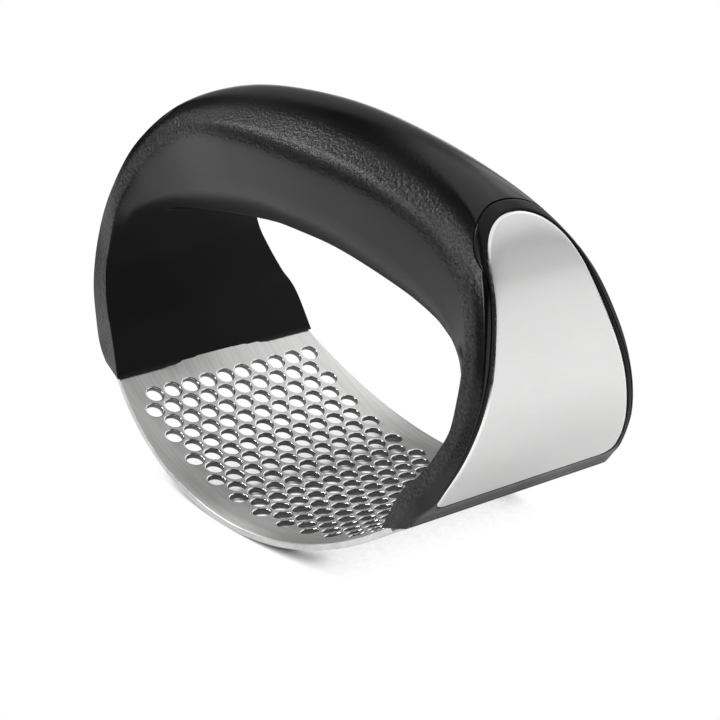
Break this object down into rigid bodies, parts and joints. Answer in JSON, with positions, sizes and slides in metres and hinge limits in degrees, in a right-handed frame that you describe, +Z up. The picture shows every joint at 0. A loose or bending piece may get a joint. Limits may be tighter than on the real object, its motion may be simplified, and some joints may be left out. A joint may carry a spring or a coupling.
{
  "type": "garlic press",
  "caption": "Rocking garlic press: an arched black plastic handle with satin steel end plates on a curved, perforated steel plate.",
  "frame": {"origin": "on the ground under the middle of the curved plate, where it rests", "axes": "+X along the plate's arc from one foot of the handle to the other, +Y across the plate, +Z up to the crown of the handle"},
  "size_m": [0.11, 0.052, 0.0719],
  "materials": {
    "textured_black_plastic": "spark-textured on the side bands, satin elsewhere",
    "smooth_black_plastic": "smooth semi-gloss",
    "perforated_steel": "polished sheet, brushed along the arc, rolled hole edges",
    "satin_steel": "satin, with a bright bevelled edge",
    "screw_steel": "plain",
    "adhesive_foam": "foam tape"
  },
  "bodies": {
    "root": {"press_plate": "perforated_steel", "handle_shell": "textured_black_plastic", "handle_liner": "smooth_black_plastic", "bezel_left": "smooth_black_plastic", "end_plate_left": "satin_steel", "adhesive_pad_left": "adhesive_foam", "plate_screw_left_front": "screw_steel", "plate_screw_left_back": "screw_steel", "bezel_right": "smooth_black_plastic", "end_plate_right": "satin_steel", "adhesive_pad_right": "adhesive_foam", "plate_screw_right_front": "screw_steel", "plate_screw_right_back": "screw_steel"}
  },
  "joints": []
}
